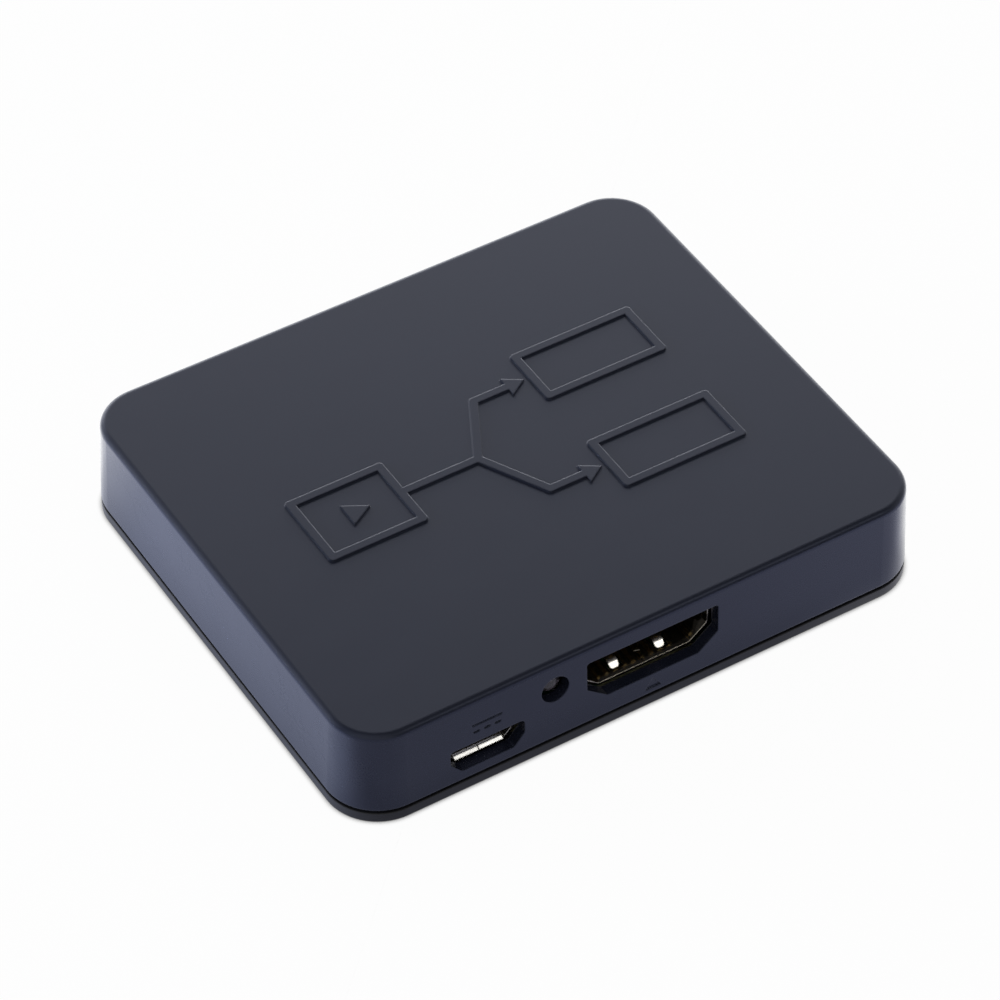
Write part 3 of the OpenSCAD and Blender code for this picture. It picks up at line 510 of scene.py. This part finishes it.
def soft_light(name, level, towards, distance, size, tone=WHITE, glossy=True):
    """Rectangular soft light in a direction from the object, turned to face it."""
    data = bpy.data.lights.new(name, "AREA")
    data.shape = "RECTANGLE"
    data.size, data.size_y = size
    data.energy = level
    data.color = tone
    light = bpy.data.objects.new(name, data)
    light.matrix_world = aimed(distance * Vector(towards).normalized(), (0, 0, 0))
    light.visible_glossy = glossy
    bpy.context.collection.objects.link(light)


def floor_paper(sheet):
    """Pale paper, white to the camera but for a narrow painted shade where the case touches it,
    taken from the occlusion next to the case, and a faint real shadow. In reflections its glow is
    painted light: bluish beside the object and bright behind it, where the light falls, dimmer in
    front, and darkest next to the case as painted contact shade. Places are in millimetres."""
    rays = sheet.add("ShaderNodeLightPath", out="Is Camera Ray")
    x, y = sheet.axes()[:2]
    half = CAD_BOX[1] / MM
    away = (abs(x) - half.x).highest(abs(y) - half.y)
    front = (y + 0.02 * x).ramp(-22.0, -30.0)
    front_level = x.ramp(-10.0, 70.0, 0.43, 0.85)
    # Painted light in reflections: rises from the left front corner to the back, with a painted
    # glare
    # # on the left that fades rightwards
    slant = x + y
    rise = slant.ramp(-50.0, -8.0, 0.93, 1.25)
    glare = slant.ramp(-14.0, -1.0, 0.0, 1.15)
    fade = x.ramp(-20.0, 20.0, 0.0, 0.35)
    level = front * front_level + (1 - front) * (rise + glare - fade)
    # Painted contact shade in reflections: the glow drops to 0.7 at the case and is full 5 mm away
    painted_contact_shade = away.ramp(0.0, 5.0, 0.7, 1.0)
    beside = sheet.tint(slant.ramp(-18.0, 2.0), (0.84, 0.9, 1.14), WHITE)
    shade = sheet.tint(front, beside, (0.94, 0.96, 1.2))
    mirrored = sheet.add("ShaderNodeVectorMath", {"operation": "SCALE"},
                         {0: shade, "Scale": level * painted_contact_shade})
    open_sky = sheet.add("ShaderNodeAmbientOcclusion", {"samples": SHADE_RAYS},
                         {"Distance": SHADE_REACH}, out="AO")
    seen = sheet.tint(open_sky.ramp(0.1, 1.0), SHADE_COLOUR, WHITE)
    paper = sheet.add("ShaderNodeBsdfDiffuse",
                      inputs={"Color": (0.8, 0.8, 0.8, 1), "Roughness": 0.0})
    glow = sheet.add("ShaderNodeEmission",
                     inputs={"Color": sheet.tint(rays, mirrored, seen), "Strength": 1.0})
    own_light = FLOOR_GLOW * rays + sheet.mirrored_rays(rays)
    return sheet.add("ShaderNodeMixShader", inputs={0: own_light, 1: paper, 2: glow})


def set_floor():
    """A wide flat square, just low enough not to share a plane with the underside."""
    size, z = FLOOR_HALF, -FLOOR_DROP
    corners = [(-size, -size, z), (size, -size, z), (size, size, z), (-size, size, z)]
    mesh = bpy.data.meshes.new("floor")
    mesh.from_pydata(corners, [], [(0, 1, 2, 3)])
    floor = bpy.data.objects.new("floor", mesh)
    mesh.materials.append(finish("floor_paper", floor_paper))
    bpy.context.collection.objects.link(floor)


def set_world(studio):
    """White to the camera; in reflections a bright wall behind the object, and in front a grey
    one with a dark screen that keeps it out of the rounded front edge. The walls and the screen
    are ranges of the view's direction."""
    world = bpy.data.worlds.new("studio")
    world.use_nodes = True
    bpy.context.scene.world = world
    sheet = Sheet(world.node_tree)
    rays = sheet.add("ShaderNodeLightPath", out="Is Camera Ray")
    direction = sheet.add("ShaderNodeTexCoord", out="Generated")
    x = sheet.add("ShaderNodeSeparateXYZ", inputs={0: direction})
    y, z = x.out("Y"), x.out("Z")
    behind = (0.12 * x + 0.95 * y).ramp(0.0, 0.5) * z.ramp(0.8, 0.6)
    beside_screen = abs(x - 0.37).ramp(0.2, 0.45)
    ahead = beside_screen * y.ramp(0.2, -0.1)
    room = studio.screen + studio.back_wall * behind + studio.front_wall * ahead
    shiny = sheet.mirrored_rays(rays)
    level = rays + (1 - rays) * (shiny * room + (1 - shiny) * studio.surround)
    glow = sheet.add("ShaderNodeBackground", inputs={"Color": (*WHITE, 1.0), "Strength": level})
    sheet.add("ShaderNodeOutputWorld", inputs={"Surface": glow})


# Operators


class DressCase(bpy.types.Operator):
    """Gives the lid, the base and the screws their finishes"""

    bl_idname = "splitter.dress_case"
    bl_label = "Dress the case"

    def execute(self, context):
        case = context.scene.splitter_case
        dress(finish("lid_plastic", lid_plastic, case), "top_cover")
        dress(finish("base_plastic", base_plastic, case), "bottom_cover")
        dress(finish("zinc_steel", zinc_steel), "case_screws")
        return {"FINISHED"}


class DressSockets(bpy.types.Operator):
    """Gives the three video sockets their finishes"""

    bl_idname = "splitter.dress_sockets"
    bl_label = "Dress the video sockets"

    def execute(self, context):
        metal = context.scene.splitter_metal
        shell = finish("shell_sheet", rolled_sheet, metal.shell_colour, metal.shell_roughness,
                       MARKS_ALONG, metal.shell_softness)
        spring = finish("spring_sheet", rolled_sheet, metal.spring_colour, metal.spring_roughness,
                        MARKS_ALONG, metal.spring_softness)
        plastic = finish("socket_insulator", insulator_plastic)
        gold = finish("socket_contacts", gold_flash)
        for socket in SOCKETS:
            dress(shell, f"{socket}_shell")
            dress(spring, f"{socket}_lower_springs", f"{socket}_upper_springs")
            dress(plastic, f"{socket}_insulator")
            dress(gold, f"{socket}_contacts")
        return {"FINISHED"}


class DressInlet(bpy.types.Operator):
    """Gives the power inlet its finishes"""

    bl_idname = "splitter.dress_inlet"
    bl_label = "Dress the power inlet"

    def execute(self, context):
        metal = context.scene.splitter_metal
        shell = finish("inlet_sheet", rolled_sheet, metal.inlet_colour, metal.inlet_roughness,
                       MARKS_ACROSS, metal.inlet_softness)
        dress(shell, "power_inlet_shell")
        dress(finish("inlet_insulator", insulator_plastic), "power_inlet_insulator")
        dress(finish("inlet_contacts", gold_flash), "power_inlet_contacts")
        return {"FINISHED"}


class DressLamp(bpy.types.Operator):
    """Gives the lamp its clear resin and tinned wires"""

    bl_idname = "splitter.dress_lamp"
    bl_label = "Dress the lamp"

    def execute(self, context):
        dress(finish("lamp_resin", lamp_resin, context.scene.splitter_lamp), "lamp_lens")
        dress(finish("lamp_wire", tinned_metal), "lamp_leads")
        return {"FINISHED"}


class DressBoard(bpy.types.Operator):
    """Gives the circuit board and what stands on it their finishes"""

    bl_idname = "splitter.dress_board"
    bl_label = "Dress the board"

    def execute(self, context):
        board = context.scene.splitter_board
        dress(finish("board_laminate", board_laminate, board), "main_board")
        dress(finish("chip_resin", chip_resin, board), "splitter_chip", "memory_chip", "regulator",
              "surge_arrays", "crystal_base", "bulk_capacitor_bases")
        dress(finish("tinned_leads", tinned_metal), "splitter_chip_pins", "memory_chip_pins",
              "regulator_leads")
        dress(finish("crystal_steel", drawn_can, board.crystal_colour), "crystal_can")
        dress(finish("can_aluminium", drawn_can, board.can_colour), "bulk_capacitors")
        for name, node, low, high, roughness in CERAMICS:
            dress(finish(name, sintered, low, high, roughness), node)
        return {"FINISHED"}


class SetStudio(bpy.types.Operator):
    """Sets the camera, the floor, the lights and the surround"""

    bl_idname = "splitter.set_studio"
    bl_label = "Set the studio"

    def execute(self, context):
        studio = context.scene.splitter_studio
        set_camera(studio)
        set_floor()
        set_world(studio)
        soft_light("key_light", studio.key_level, towards=(-0.78, 0.6, 0.12), distance=0.6,
                   size=(0.34, 0.12), tone=studio.key_colour, glossy=False)
        soft_light("back_light", studio.back_level, towards=(0.37, 0.86, 0.36), distance=0.9,
                   size=(1.2, 0.55))
        soft_light("strip_light", studio.strip_level, towards=(0.37, 0.92, 0.1), distance=0.9,
                   size=(1.2, 0.12))
        soft_light("card_light", studio.card_level, towards=(0.372, -0.62, 0.69), distance=0.6,
                   size=(0.12, 0.12))
        context.scene.view_settings.view_transform = "Standard"
        return {"FINISHED"}


class SplitterPanel(bpy.types.Panel):
    """Lists the settings and the steps"""

    bl_idname = "VIEW3D_PT_splitter"
    bl_label = "Video splitter"
    bl_space_type = "VIEW_3D"
    bl_region_type = "UI"
    bl_category = "Splitter"

    def draw(self, context):
        for name, group in SETTINGS.items():
            box = self.layout.box()
            for key in group.__annotations__:
                box.prop(getattr(context.scene, name), key)
        for step in STEPS:
            self.layout.operator(step.bl_idname)


SETTINGS = {
    "splitter_case": CaseSettings,
    "splitter_metal": MetalSettings,
    "splitter_lamp": LampSettings,
    "splitter_board": BoardSettings,
    "splitter_studio": StudioSettings,
}
STEPS = (DressCase, DressSockets, DressInlet, DressLamp, DressBoard, SetStudio)


def register():
    for group in (*SETTINGS.values(), *STEPS, SplitterPanel):
        bpy.utils.register_class(group)
    for name, group in SETTINGS.items():
        setattr(bpy.types.Scene, name, bpy.props.PointerProperty(type=group))


def unregister():
    for name in SETTINGS:
        delattr(bpy.types.Scene, name)
    for group in reversed((*SETTINGS.values(), *STEPS, SplitterPanel)):
        bpy.utils.unregister_class(group)


def main():
    register()
    bpy.ops.splitter.dress_case()
    bpy.ops.splitter.dress_sockets()
    bpy.ops.splitter.dress_inlet()
    bpy.ops.splitter.dress_lamp()
    bpy.ops.splitter.dress_board()
    bpy.ops.splitter.set_studio()


if __name__ == "__main__":
    main()
